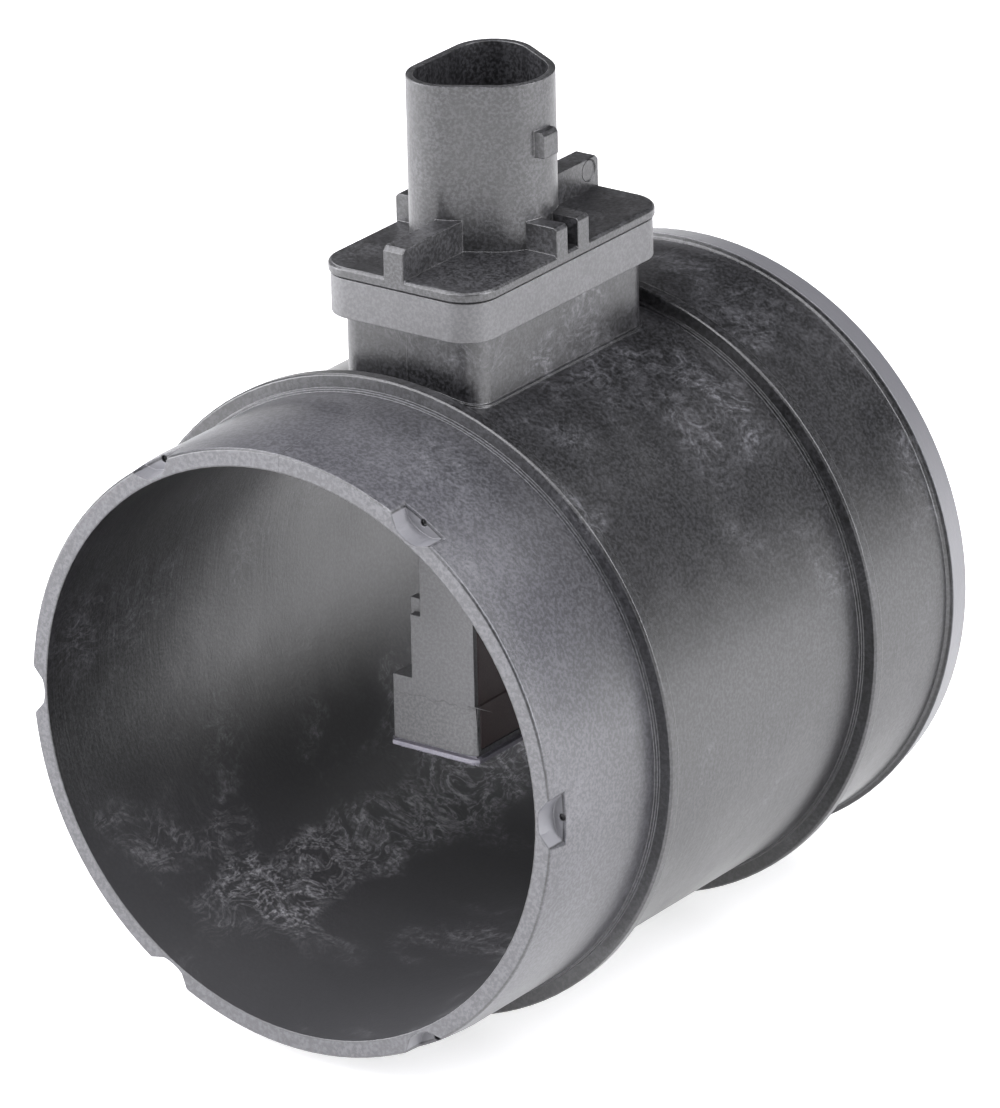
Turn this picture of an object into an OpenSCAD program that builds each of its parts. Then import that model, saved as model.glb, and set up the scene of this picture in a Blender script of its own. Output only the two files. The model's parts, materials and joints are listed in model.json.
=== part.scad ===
// Mass airflow sensor: a round duct tube with a plug-in sensor in a socket on its top.
// Units are millimetres. X is across the duct, Z is up towards the connector, and Y runs along the
// duct from the notched front end to the beaded rear end.
// The origin is on the duct axis at the middle of the front sleeve's clamping land.

/* [Duct tube] */
// Outside radius of both hose sleeves and of the tube between the ribs
sleeve_r = 44; // [38:0.25:50]
// Wall thickness of the tube
tube_t = 3; // [2.4:0.1:3.6]
// Length of the front sleeve's straight clamping land
land_len = 18.6; // [16:0.2:20]
// Length of the tapered rim in front of the land
rim_len = 5.5; // [4.5:0.25:7]
// Fall of the tapered rim from the sleeve to the front end face
rim_drop = 0.4; // [0.3:0.05:1]
// Overall length of the tube
tube_len = 100.3; // [98:0.1:110]
// Height of the two stop ribs above the tube
rib_h = 2.45; // [1.5:0.05:4]
// Width of each stop rib along the duct
rib_w = 2; // [1.5:0.1:2.6]
// Clear distance between the two stop ribs
rib_gap = 47.5; // [45.5:0.5:50]
// Height of the rear bead's front edge above the sleeve
bead_h = 0.9; // [0.6:0.05:1.6]
// Fall of the rear bead's taper from its front edge to the end face
bead_drop = 0.8; // [0.4:0.05:1.5]
// Length of the rear bead
bead_len = 4.8; // [4:0.1:6]

/* [Rim notches] */
// Number of notches round the front rim
notch_n = 6; // [3:1:8]
// Notch width at the rim's outer edge
notch_w = 7.7; // [6.5:0.1:9]
// Notch width at its floor
notch_floor_w = 3.4; // [2.6:0.1:5]
// Notch depth behind the end face
notch_depth = 3.25; // [2:0.05:4.5]
// Height of the notch floor above the bore
notch_floor = 0.75; // [0.5:0.05:1.2]
// Radius of the dimple in each notch's back wall
dimple_r = 0.5; // [0.3:0.05:0.6]

/* [Sensor socket on the tube] */
// Half width of the socket neck
neck_x = 11.6; // [11:0.1:12]
// Half length of the socket neck
neck_y = 20.45; // [20:0.05:21]
// Outside corner radius of the neck
neck_cr = 3.6; // [3:0.1:4.5]
// Wall thickness of the neck
neck_wall = 2.5; // [2:0.1:2.8]
// Height of the neck above the top of the tube
neck_h = 8.3; // [6.5:0.1:10]
// Height and width of the moulded root round the neck
neck_root = 0.35; // [0.25:0.05:0.8]

/* [Sensor body] */
// Clearance between the plug and the neck
plug_gap = 0.1; // [0.05:0.01:0.15]
// Half width of the collar
collar_x = 13.2; // [12.8:0.1:13.3]
// Half length of the collar
collar_y = 22.6; // [22.2:0.1:22.7]
// Height of the collar
collar_h = 5.7; // [5.4:0.1:6.5]
// Corner radius of the collar
collar_cr = 4.8; // [4:0.1:5.5]
// Wall thickness of the collar round the board tray
collar_wall = 1.6; // [1.4:0.1:1.8]
// Thickness of the tray floor
tray_floor = 1.5; // [1.2:0.1:1.8]
// Thickness of the gasket between neck and collar
base_gasket_t = 0.3; // [0.2:0.05:0.5]
// Thickness of the gasket between collar and lid
lid_gasket_t = 0.25; // [0.2:0.05:0.4]
// Groove depth for the plug seal
seal_depth = 1.3; // [1:0.1:1.5]
// Height of the plug seal
seal_h = 2.6; // [2:0.1:3]
// Height of the seal's lower side above the plug's bottom
seal_up = 3.5; // [3:0.1:5]

/* [Probe] */
// Front face of the probe, measured forward from the sensor axis
probe_front = 15.7; // [15:0.1:16.5]
// Rear face of the probe, measured back from the sensor axis
probe_back = 13.3; // [12.8:0.1:16]
// Left side of the probe's lower block, measured from the sensor axis
block_left = 7.3; // [7.1:0.1:7.5]
// Right side of the probe's lower block, measured from the sensor axis
block_right = 6.85; // [6.8:0.05:7.2]
// Height of the lower block's top above the duct axis
block_top = -1.5; // [-1.8:0.1:-1]
// Height of the lower block's underside above the duct axis
block_bottom = -11.05; // [-12:0.05:-11]
// Left side of the probe at the middle step
mid_left = -4.1; // [-4.6:0.1:-3.6]
// Height of the middle step's top above the duct axis
mid_top = 8; // [7.6:0.1:8.2]
// Left side of the probe's upper part
upper_left = -2.4; // [-2.8:0.1:-2.2]
// Right side of the probe's upper part
upper_right = 6.6; // [6.5:0.05:6.8]
// Radius of the turned-in right front side of the lower block
block_round = 3.2; // [2.6:0.1:4]
// Thickness of the end plate under the lower block
end_plate_t = 0.65; // [0.45:0.05:1]
// Height of the open seam above the end plate
end_seam = 0.4; // [0.2:0.05:0.6]
// Overhang of the end plate round the lower block
end_plate_out = 0.2; // [0.1:0.05:0.4]
// Thickness of the two side covers
cover_t = 1.3; // [1:0.1:1.5]
// Width of the lip round each side cover
cover_lip = 0.9; // [0.8:0.1:1.4]
// Clearance round each side cover
cover_gap = 0.1; // [0.05:0.01:0.15]
// Width of the air passage past the sensing chip
channel_w = 3.6; // [3.2:0.1:3.7]

/* [Connector lid] */
// Thickness of the lid plate
plate_t = 1.45; // [1.2:0.05:2]
// Overhang of the lid plate past the collar
plate_out = 0.3; // [0.2:0.05:0.5]
// Chamfer round the top of the lid plate
plate_chamfer = 0.35; // [0.2:0.05:0.5]
// Height of the shroud above the lid plate
shroud_h = 23.65; // [20:0.05:28]
// Wall thickness of the shroud
shroud_wall = 1.05; // [0.9:0.05:1.4]
// Thickness of the floor inside the shroud
shroud_floor = 2.8; // [2:0.1:4]
// Corner radius of the shroud's two left corners
shroud_r1 = 6.05; // [5.5:0.05:6.5]
// Radius of the shroud's right-hand nose
shroud_r3 = 8.1; // [7.8:0.05:8.3]
// Distance between the centres of the two left corners
shroud_span = 9.7; // [9.2:0.1:10.2]
// Height of the ribs on the lid plate in front of and behind the shroud
long_rib_h = 4.5; // [4:0.1:5]
// Width of the ribs in front of and behind the shroud
long_rib_w = 3.3; // [3:0.1:3.6]
// Height of the paired side ribs
side_rib_h = 4; // [3.5:0.1:4.5]
// Thickness of each paired side rib
side_rib_t = 2.6; // [2.2:0.1:3]
// Gap between the two ribs of a pair
side_rib_gap = 2.4; // [2:0.1:2.8]

/* [Terminals and electronics] */
// Distance between neighbouring connector terminals
terminal_pitch = 3.5; // [3:0.1:3.8]
// Length of the terminals inside the shroud
terminal_len = 13.5; // [11:0.5:16]
// Thickness of the circuit board
board_t = 1.2; // [1:0.1:1.6]
// Height of the posts under the circuit board
board_post_h = 1; // [0.8:0.1:1.2]
// Clearance between the circuit board and the tray wall
board_gap = 0.7; // [0.5:0.1:1]
// Thickness of the chip carrier
carrier_t = 0.6; // [0.5:0.05:0.7]
// Distance between neighbouring sensor leads
lead_pitch = 1.6; // [1.4:0.05:1.7]

/* [Hidden] */
$fn = 64;
eps = 0.02;
// Radii of the tube
bore_r = sleeve_r - tube_t;
rim_face_r = sleeve_r - rim_drop;
rib_r = sleeve_r + rib_h;
bead_r = sleeve_r + bead_h;
bead_end_r = bead_r - bead_drop;
// Positions along the duct
face_y = -(rim_len + land_len / 2);
rib1_y = face_y + rim_len + land_len;
rib2_y = rib1_y + rib_w + rib_gap;
end_y = face_y + tube_len;
bead_y = end_y - bead_len;
sensor_y = rib1_y + rib_w + rib_gap / 2;
rib_edge = 0.25;
foot_w = 0.5;
foot_h = 0.45;
// Heights in the sensor: the plug ends level with the top of the bore
neck_top = sleeve_r + neck_h;
plug_bottom = bore_r;
neck_cr_extra = 1.4;
collar_z = neck_top + base_gasket_t;
collar_top = collar_z + collar_h;
plate_z = collar_top + lid_gasket_t;
plate_top = plate_z + plate_t;
tray_z = collar_z + tray_floor;
board_z = tray_z + board_post_h;
board_top = board_z + board_t;
shroud_top = plate_top + shroud_h;
cavity_z = plate_top + shroud_floor;
neck_cr_in = neck_cr - neck_wall + neck_cr_extra;
plug_x = neck_x - neck_wall - plug_gap;
plug_y = neck_y - neck_wall - plug_gap;
plug_cr = neck_cr_in - plug_gap;
seal_z = plug_bottom + seal_up;
plate_x = collar_x + plate_out;
plate_y = collar_y + plate_out;
plate_cr = collar_cr + plate_out;
tray_x = collar_x - collar_wall;
tray_y = collar_y - collar_wall;
tray_cr = collar_cr - collar_wall;
gasket_in = 0.35;
// Shroud outline: two corners on the left and a nose on the right, centred on the sensor axis
shroud_cx1 = -3;
shroud_cx3 = 1.2;
side_dip = 0.003;
// Probe inside
inner_x = upper_right - cover_t;
channel_x0 = inner_x - channel_w;
front_wall = 2;
low_z0 = block_bottom + 1.7;
low_z1 = -0.6;
high_z0 = 3;
high_z1 = 10;
riser_w = 5.5;
outlet_y0 = -2.6;
outlet_y1 = 2;
cover_split = 13.2;
lead_pocket_z0 = 15;
lead_pocket_z1 = plug_bottom - 1.5;
pocket_margin = 0.6;
pocket_roof = 1.2;
window_wall = 2;
slot_gap = 0.04;
core_wall = 1.4;
core_z1 = -3;
pad_z1 = -3.6;
// Leads and chip
carrier_x1 = channel_x0 + channel_w / 2 + carrier_t / 2;
carrier_x0 = carrier_x1 - carrier_t;
carrier_y0 = -8.2;
carrier_y1 = 0.2;
carrier_z0 = high_z0 + 0.6;
carrier_z1 = lead_pocket_z0 + 2;
lead_t = 0.25;
lead_w = 0.7;
lead_n = 5;
lead_mid = (carrier_y0 + carrier_y1) / 2;
lead_z0 = lead_pocket_z0 + 0.2;
lead_hole = 0.1;
terminal_x = -1;
terminal_t = 0.64;
terminal_w = 0.8;
terminal_z0 = board_z - 0.5;
probe_wire_r = 0.25;
probe_wire_x = -4.4;
probe_wire_s = 0.7;
bead_z = 17;
bead_ball_r = 1.15;
board_x = tray_x - board_gap;
board_y = tray_y - board_gap;
lead_z1 = board_top + 0.6;
post_x = board_x - 2.4;
post_y = board_y - 2.4;
post_r = 1.3;
chip_t = 0.4;
chip_hy = 3.5;
chip_z0 = carrier_z0 + 1;
chip_z1 = chip_z0 + 2.8;
track_t = 0.08;
track_w = 0.4;
// Small forms of the tube and the body
edge = 0.3;
bead_step = 0.15;
bead_foot = 0.3;
notch_dip = 0.25;
notch_slope = 5;
dimple_up = 1.4;
dimple_depth = 0.6;
neck_reach = 10;
neck_inside_z = bore_r - neck_reach;
gasket_clear = 0.2;
block_turn = 35;
seam_in = 0.6;
lug_left = -4.8;
lug_y0 = 1.2 - probe_front;
lug_y1 = lug_y0 + 1.6;
lug_h = 2.05;
well_wall = 1.6;
well_x = plug_x - seal_depth - well_wall;
well_y = plug_y - seal_depth - well_wall;
well_front = carrier_y0 - 1.2;
well_back = 3.4;
well_z = plug_bottom + 2;
cover_strip = 1;
// Parts on the board: centres in the sensor's own frame, and sizes
ic_at = [1, -14.2];
ic_size = [7.4, 4.4, 1.4];
ic_leg_n = 6;
ic_leg_pitch = 1.2;
ic_leg_size = [0.42, 6.2, 0.4];
reg_at = [2, 13.6];
reg_size = [6.2, 5.6, 1.5];
reg_tab_size = [5.2, 1.8, 0.5];
reg_leg_pitch = 2.2;
reg_leg_size = [0.8, 1.8, 0.4];
cap_at = [[-7.6, -9], [-7.6, -4.5], [-7.6, 4.5], [-6, 14]];
cap_size = [2, 1.25, 1.2];
res_at = [[8, 3], [8, 5.5], [8, 8], [7.6, -11], [-4.5, -10]];
res_size = [1.6, 0.8, 0.5];
solder_h = 0.45;
pin_solder_r = 1;
lead_solder_r = 0.7;
wire_solder_r = 0.55;
// Small forms of the lid
rib_in = plate_z + 0.4;
long_rib_c = 0.65;
side_rib_c = 0.45;
tip_len = 0.9;
tip_half = 0.12;
mark_depth = 0.15;
tongue_gap = 0.1;
tongue_t = 1;
tongue_h = 1;
nub_x = 10.6;
nub_y0 = -2.3;
nub_y1 = 1.1;
nub_z0 = 12.9;
nub_z1 = 16.6;
nub_c = 0.5;
mark_y = 20.6;
mark_z = 2.7;
mark_r = 1.55;

function lead_y(i) = lead_mid + (i - (lead_n - 1) / 2) * lead_pitch;
function pin_y(i) = (i - 1.5) * terminal_pitch;

// Half the width of a rim notch at radius r
function notch_half(r) =
    let (floor_r = bore_r + notch_floor, flare = (notch_w - notch_floor_w) / 2)
    notch_floor_w / 2 + flare * (r - floor_r) / (rim_face_r - floor_r);

// Flat rectangle with rounded corners, half sizes hx and hy
module round_rect(hx, hy, r) {
    square([2 * hx, 2 * (hy - r)], center = true);
    square([2 * (hx - r), 2 * hy], center = true);
    for (sx = [-1, 1], sy = [-1, 1])
        translate([sx * (hx - r), sy * (hy - r)])
            circle(r = r);
}

module prism(hx, hy, r, z0, z1) {
    translate([0, sensor_y, z0])
        linear_extrude(height = z1 - z0)
            round_rect(hx, hy, r);
}

// Block in the sensor's own frame: y is measured from the sensor axis
module block(x0, x1, y0, y1, z0, z1) {
    translate([x0, sensor_y + y0, z0])
        cube([x1 - x0, y1 - y0, z1 - z0]);
}

module profile_turn(points) {
    rotate([-90, 0, 0])
        rotate_extrude($fn = 180)
            polygon(points);
}

// Rounded prism with a chamfered top edge
module chamfer_plate(hx, hy, r, z0, h, c) {
    translate([0, sensor_y, z0]) {
        for (sx = [-1, 1], sy = [-1, 1])
            translate([sx * (hx - r), sy * (hy - r), 0]) {
                cylinder(r = r, h = h - c);
                translate([0, 0, h - c])
                    cylinder(r1 = r, r2 = r - c, h = c);
            }
        translate([0, hy - r, 0])
            rotate([90, 0, 0])
                linear_extrude(height = 2 * (hy - r))
                    polygon([[-hx, 0], [hx, 0], [hx, h - c], [hx - c, h], [c - hx, h], [-hx, h - c]]);
        translate([r - hx, 0, 0])
            rotate([90, 0, 90])
                linear_extrude(height = 2 * (hx - r))
                    polygon([[-hy, 0], [hy, 0], [hy, h - c], [hy - c, h], [c - hy, h], [-hy, h - c]]);
    }
}

// Outline of the connector shroud, drawn in by the given distance
function unit_out(c, r, d, q, s) =
    let (v = d - c, l = norm(v), u = v / l, k = (q - r) / l, m = [u[1], -u[0]] * s)
    -k * u + sqrt(1 - k * k) * m;

module shroud_outline(inset) {
    r1 = shroud_r1 - inset;
    r3 = shroud_r3 - inset;
    a = [shroud_cx1, -shroud_span / 2];
    b = [shroud_cx1, shroud_span / 2];
    c = [shroud_cx3, 0];
    na = unit_out(a, r1, c, r3, 1);
    nb = unit_out(b, r1, c, r3, -1);
    translate(a)
        circle(r = r1);
    translate(b)
        circle(r = r1);
    translate(c)
        circle(r = r3);
    polygon([a + [-r1, 0], a, a + na * (r1 - side_dip), c + na * (r3 - side_dip), c,
        c + nb * (r3 - side_dip), b + nb * (r1 - side_dip), b, b + [-r1, 0]]);
}

// Notch in the front rim, seen along the duct: two sloping sides that run down past the floor
module notch_shape() {
    r0 = bore_r + notch_floor - 2 * notch_dip;
    r1 = sleeve_r + 2;
    polygon([[-notch_half(r0), r0], [notch_half(r0), r0], [notch_half(r1), r1], [-notch_half(r1), r1]]);
}

module turned_core(r) {
    translate([0, face_y - 1, 0])
        rotate([-90, 0, 0])
            cylinder(r = r, h = tube_len + 2, $fn = 180);
}

module tube_wall() {
    profile_turn([[bore_r, face_y], [rim_face_r - edge, face_y], [rim_face_r, face_y + edge],
        [sleeve_r, face_y + rim_len],
        [sleeve_r, rib1_y - foot_w], [sleeve_r + foot_h, rib1_y - foot_w], [sleeve_r + foot_h, rib1_y],
        [rib_r - rib_edge, rib1_y], [rib_r, rib1_y + rib_edge],
        [rib_r, rib1_y + rib_w - rib_edge], [rib_r - rib_edge, rib1_y + rib_w],
        [sleeve_r, rib1_y + rib_w],
        [sleeve_r, rib2_y - foot_w], [sleeve_r + foot_h, rib2_y - foot_w], [sleeve_r + foot_h, rib2_y],
        [rib_r - rib_edge, rib2_y], [rib_r, rib2_y + rib_edge],
        [rib_r, rib2_y + rib_w - rib_edge], [rib_r - rib_edge, rib2_y + rib_w],
        [sleeve_r, rib2_y + rib_w],
        [sleeve_r, bead_y - bead_foot], [sleeve_r + bead_foot, bead_y],
        [bead_r, bead_y + bead_step],
        [bead_end_r, end_y - edge], [bead_end_r - edge, end_y], [bore_r, end_y]]);
}

// The notch's hollow floor is part of a round that rises towards the back wall
module rim_notch() {
    floor_r = bore_r + notch_floor;
    floor_round = notch_floor_w * notch_floor_w / 8 / notch_dip + notch_dip / 2;
    intersection() {
        translate([0, face_y - 1, 0])
            rotate([-90, 0, 0])
                mirror([0, 1, 0])
                    linear_extrude(height = notch_depth + 1)
                        notch_shape();
        translate([0, face_y, floor_r - notch_dip])
            rotate([-90 + notch_slope, 0, 0])
                translate([0, -floor_round, -3])
                    cylinder(r = floor_round, h = notch_depth + 6);
    }
    translate([0, face_y + notch_depth - eps, floor_r + dimple_up])
        rotate([-90, 0, 0])
            cylinder(r = dimple_r, h = dimple_depth, $fn = 24);
}

module duct_tube() {
    color("#2b2c2e")
        difference() {
            union() {
                tube_wall();
                prism(neck_x, neck_y, neck_cr, neck_inside_z, neck_top);
                intersection() {
                    prism(neck_x + neck_root, neck_y + neck_root, neck_cr + neck_root,
                        neck_inside_z, neck_top);
                    turned_core(sleeve_r + neck_root);
                }
            }
            turned_core(bore_r);
            prism(neck_x - neck_wall, neck_y - neck_wall, neck_cr_in, neck_inside_z, neck_top + 1);
            for (i = [0:notch_n - 1])
                rotate([0, 360 * i / notch_n + 90, 0])
                    rim_notch();
        }
}

module base_gasket() {
    color("#101010")
        difference() {
            prism(neck_x - gasket_in, neck_y - gasket_in, neck_cr - gasket_in, neck_top, collar_z);
            prism(neck_x - neck_wall + gasket_clear, neck_y - neck_wall + gasket_clear,
                neck_cr_in, neck_top - 1, collar_z + 1);
        }
}

module plug_seal() {
    color("#7a3b2e")
        difference() {
            prism(plug_x + plug_gap, plug_y + plug_gap, neck_cr_in, seal_z, seal_z + seal_h);
            plug_groove_core(1);
        }
}

module plug_groove_core(over) {
    prism(plug_x - seal_depth, plug_y - seal_depth, plug_cr - seal_depth,
        seal_z - over, seal_z + seal_h + over);
}

// Outline of the lower block, seen from above, drawn out by the given distance. Its front turns in
// on the right by an arc that ends in a sharp edge.
module block_outline(out) {
    x0 = -block_left - out;
    x1 = block_right + out;
    y0 = -probe_front - out;
    y1 = probe_back + out;
    r = block_round;
    xc = x1 - r * sin(block_turn);
    y2 = y0 + r * (1 - cos(block_turn));
    polygon([[x0, y0], [xc, y0], [x1, y2 + eps], [x1, y1], [x0, y1]]);
    intersection() {
        translate([xc, y0 + r])
            circle(r = r);
        polygon([[xc, y0 - 1], [x1, y0 - 1], [x1, y2 + 2 * eps], [xc, y0 + r / 2]]);
    }
}

module probe_shape() {
    translate([0, sensor_y, block_bottom])
        linear_extrude(height = pad_z1 - block_bottom)
            block_outline(0);
    block(-block_left, upper_right, -probe_front, probe_back, pad_z1 - eps, block_top);
    block(mid_left, upper_right, -probe_front, probe_back, block_top - 1, mid_top);
    block(upper_left, upper_right, -probe_front, probe_back, block_top - 1, plug_bottom + 1);
    block(lug_left, upper_left + 1, lug_y0, lug_y1, mid_top - 1.5, mid_top + lug_h);
}

// Air passage: in at the back, forward under the web, up the riser, back past the chip, out on the left
module air_passage() {
    riser_y0 = front_wall - probe_front;
    block(channel_x0, inner_x, riser_y0, probe_back + 1, low_z0, low_z1);
    block(channel_x0, inner_x, riser_y0, riser_y0 + riser_w, low_z0, high_z1);
    block(channel_x0, inner_x, riser_y0, outlet_y1, high_z0, high_z1);
    block(mid_left - 1, inner_x, outlet_y0, outlet_y1, high_z0, high_z1);
}

module cover_rebate(z0, z1, gap) {
    block(inner_x, block_right + 1, cover_lip - probe_front + gap, probe_back - cover_lip - gap,
        z0 + gap, z1 - gap);
}

module lead_slots(x0, x1, w, z0, z1) {
    for (i = [0:lead_n - 1])
        block(x0, x1, lead_y(i) - w / 2, lead_y(i) + w / 2, z0, z1);
}

module bead_rods(r, z0, z1) {
    for (s = [-1, 1])
        translate([probe_wire_x, sensor_y + s * probe_wire_s, z0])
            cylinder(r = r, h = z1 - z0, $fn = 24);
}

module sensor_body() {
    color("#5f5a55") {
        difference() {
            union() {
                prism(collar_x, collar_y, collar_cr, collar_z, collar_top);
                prism(plug_x, plug_y, plug_cr, plug_bottom, collar_z + 1);
                probe_shape();
            }
            prism(tray_x, tray_y, tray_cr, tray_z, collar_top + 1);
            block(-well_x, well_x, -well_y, well_front, well_z, tray_z + 1);
            block(-well_x, well_x, well_back, well_y, well_z, tray_z + 1);
            difference() {
                prism(plug_x + 1, plug_y + 1, plug_cr + 1, seal_z, seal_z + seal_h);
                plug_groove_core(0);
            }
            air_passage();
            block(channel_x0, inner_x, outlet_y1 + window_wall, probe_back - core_wall,
                high_z0, cover_split - pocket_roof);
            block(core_wall - block_left, channel_x0 - core_wall, core_wall - probe_front,
                probe_back - core_wall, block_bottom - 1, core_z1);
            block(channel_x0, inner_x, carrier_y0 - pocket_margin, carrier_y1 + pocket_margin,
                lead_pocket_z0, lead_pocket_z1);
            block(carrier_x0, carrier_x1 + track_t + slot_gap, carrier_y0, carrier_y1,
                high_z1 - 1, lead_pocket_z0 + 1);
            lead_slots(carrier_x1 - lead_hole, carrier_x1 + lead_t + lead_hole, lead_w + 2 * lead_hole,
                lead_pocket_z1 - 1, tray_z + 1);
            bead_rods(probe_wire_r + lead_hole, plug_bottom - 1, tray_z + 1);
            cover_rebate(block_bottom + cover_lip, cover_split, 0);
            cover_rebate(cover_split + cover_strip, plug_bottom - cover_lip, 0);
        }
        for (sx = [-1, 1], sy = [-1, 1])
            translate([sx * post_x, sensor_y + sy * post_y, tray_z - eps])
                cylinder(r = post_r, h = board_post_h + eps, $fn = 24);
    }
}

module bypass_cover() {
    color("#4d4945")
        intersection() {
            cover_rebate(block_bottom + cover_lip, cover_split, cover_gap);
            union() {
                block(inner_x, upper_right, -probe_front, probe_back, block_bottom, cover_split);
                block(inner_x, block_right, -probe_front, probe_back, block_bottom, pad_z1);
            }
        }
}

module lead_cover() {
    color("#4d4945")
        intersection() {
            cover_rebate(cover_split + cover_strip, plug_bottom - cover_lip, cover_gap);
            block(inner_x, upper_right, -probe_front, probe_back, cover_split, plug_bottom);
        }
}

// Plate under the lower block, standing off it on a land, so that an open seam runs round it
module end_plate() {
    color("#8f8a86") {
        translate([0, sensor_y, block_bottom - end_seam - end_plate_t])
            linear_extrude(height = end_plate_t)
                block_outline(end_plate_out);
        block(seam_in - block_left, block_right - seam_in, seam_in - probe_front,
            probe_back - seam_in, block_bottom - end_seam - eps, block_bottom);
    }
}

module chip_carrier() {
    color("#d9d6cc")
        block(carrier_x0, carrier_x1, carrier_y0, carrier_y1, carrier_z0, carrier_z1);
}

module sensing_chip() {
    color("#3c4152")
        block(carrier_x1, carrier_x1 + chip_t, lead_mid - chip_hy, lead_mid + chip_hy, chip_z0, chip_z1);
}

module carrier_tracks() {
    color("#c9a24a")
        lead_slots(carrier_x1, carrier_x1 + track_t, track_w, chip_z1, lead_z0);
}

module sensor_leads() {
    color("#b9a58a")
        lead_slots(carrier_x1, carrier_x1 + lead_t, lead_w, lead_z0, lead_z1);
}

module air_temperature_bead() {
    color("#1c1c1c")
        difference() {
            translate([probe_wire_x, sensor_y, bead_z])
                sphere(r = bead_ball_r, $fn = 48);
            bead_rods(probe_wire_r, bead_z, bead_z + 3);
        }
}

module bead_wires() {
    color("#b9a58a")
        bead_rods(probe_wire_r, bead_z, lead_z1);
}

module circuit_board() {
    color("#1f5a3a")
        difference() {
            prism(board_x, board_y, tray_cr - board_gap, board_z, board_top);
            lead_slots(carrier_x1 - lead_hole, carrier_x1 + lead_t + lead_hole, lead_w + 2 * lead_hole,
                board_z - 1, board_top + 1);
            bead_rods(probe_wire_r + lead_hole, board_z - 1, board_top + 1);
            for (i = [0:3])
                pin_space(i, lead_hole, board_z - 1, board_top + 1);
        }
}

module pin_space(i, gap, z0, z1) {
    hx = terminal_t / 2 + gap;
    hy = terminal_w / 2 + gap;
    block(terminal_x - hx, terminal_x + hx, pin_y(i) - hy, pin_y(i) + hy, z0, z1);
}

// Part soldered flat on the board: centre in the sensor's own frame, and size
module surface_part(at, size) {
    block(at[0] - size[0] / 2, at[0] + size[0] / 2, at[1] - size[1] / 2, at[1] + size[1] / 2,
        board_top, board_top + size[2]);
}

module signal_chip() {
    color("#17181a") {
        surface_part(ic_at, ic_size);
        for (i = [0:ic_leg_n - 1])
            surface_part(ic_at + [(i - (ic_leg_n - 1) / 2) * ic_leg_pitch, 0], ic_leg_size);
    }
}

module voltage_regulator() {
    color("#17181a") {
        surface_part(reg_at, reg_size);
        surface_part(reg_at + [0, reg_size[1] / 2 + 0.8], reg_tab_size);
        for (i = [-1, 0, 1])
            surface_part(reg_at + [i * reg_leg_pitch, -reg_size[1] / 2 - 0.8], reg_leg_size);
    }
}

module capacitors() {
    color("#b08c62")
        for (at = cap_at)
            surface_part(at, cap_size);
}

module resistors() {
    color("#22262b")
        for (at = res_at)
            surface_part(at, res_size);
}

// Cone of solder on the board, with its tip 0.6 of the foot's radius
module solder(x, y, r, h) {
    translate([x, sensor_y + y, board_top])
        cylinder(r1 = r, r2 = 0.6 * r, h = h, $fn = 32);
}

module solder_joints() {
    color("#c4c6c8") {
        for (i = [0:3])
            difference() {
                solder(terminal_x, pin_y(i), pin_solder_r, solder_h);
                pin_space(i, 0, board_top - 1, board_top + 2);
            }
        for (i = [0:lead_n - 1])
            difference() {
                solder(carrier_x1 + lead_t / 2, lead_y(i), lead_solder_r, solder_h);
                lead_slots(carrier_x1, carrier_x1 + lead_t, lead_w, board_top - 1, board_top + 2);
            }
        for (s = [-1, 1])
            difference() {
                solder(probe_wire_x, s * probe_wire_s, wire_solder_r, solder_h);
                bead_rods(probe_wire_r, board_top - 1, board_top + 2);
            }
    }
}

module lid_gasket() {
    color("#101010")
        difference() {
            prism(collar_x - gasket_in, collar_y - gasket_in, collar_cr - gasket_in, collar_top, plate_z);
            prism(tray_x, tray_y, tray_cr, collar_top - 1, plate_z + 1);
        }
}

module shroud_prism(inset, z0, z1) {
    translate([0, sensor_y, z0])
        linear_extrude(height = z1 - z0)
            shroud_outline(inset);
}

// Rib on the plate in front of or behind the shroud, flush with the plate's end
module long_rib(s) {
    h = plate_top + long_rib_h;
    translate([-long_rib_w / 2, sensor_y, 0])
        rotate([90, 0, 90])
            linear_extrude(height = long_rib_w)
                polygon([[0, rib_in], [s * plate_y, rib_in], [s * plate_y, h - long_rib_c],
                    [s * (plate_y - long_rib_c), h], [0, h]]);
}

// One rib of a pair beside the shroud, flush with the plate's side
module side_rib(s, y0) {
    h = plate_top + side_rib_h;
    translate([0, sensor_y + y0 + side_rib_t, 0])
        rotate([90, 0, 0])
            linear_extrude(height = side_rib_t)
                polygon([[0, rib_in], [s * plate_x, rib_in], [s * plate_x, h - side_rib_c],
                    [s * (plate_x - side_rib_c), h], [0, h]]);
}

// Catch for the mating plug on the shroud's nose, with its upper outer edge cut off
module shroud_nub() {
    x0 = shroud_cx3 + shroud_r3 - shroud_wall / 2;
    z1 = plate_top + nub_z1;
    translate([0, sensor_y + nub_y1, 0])
        rotate([90, 0, 0])
            linear_extrude(height = nub_y1 - nub_y0)
                polygon([[x0, plate_top + nub_z0], [nub_x, plate_top + nub_z0], [nub_x, z1 - nub_c],
                    [nub_x - nub_c, z1], [x0, z1]]);
}

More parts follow.
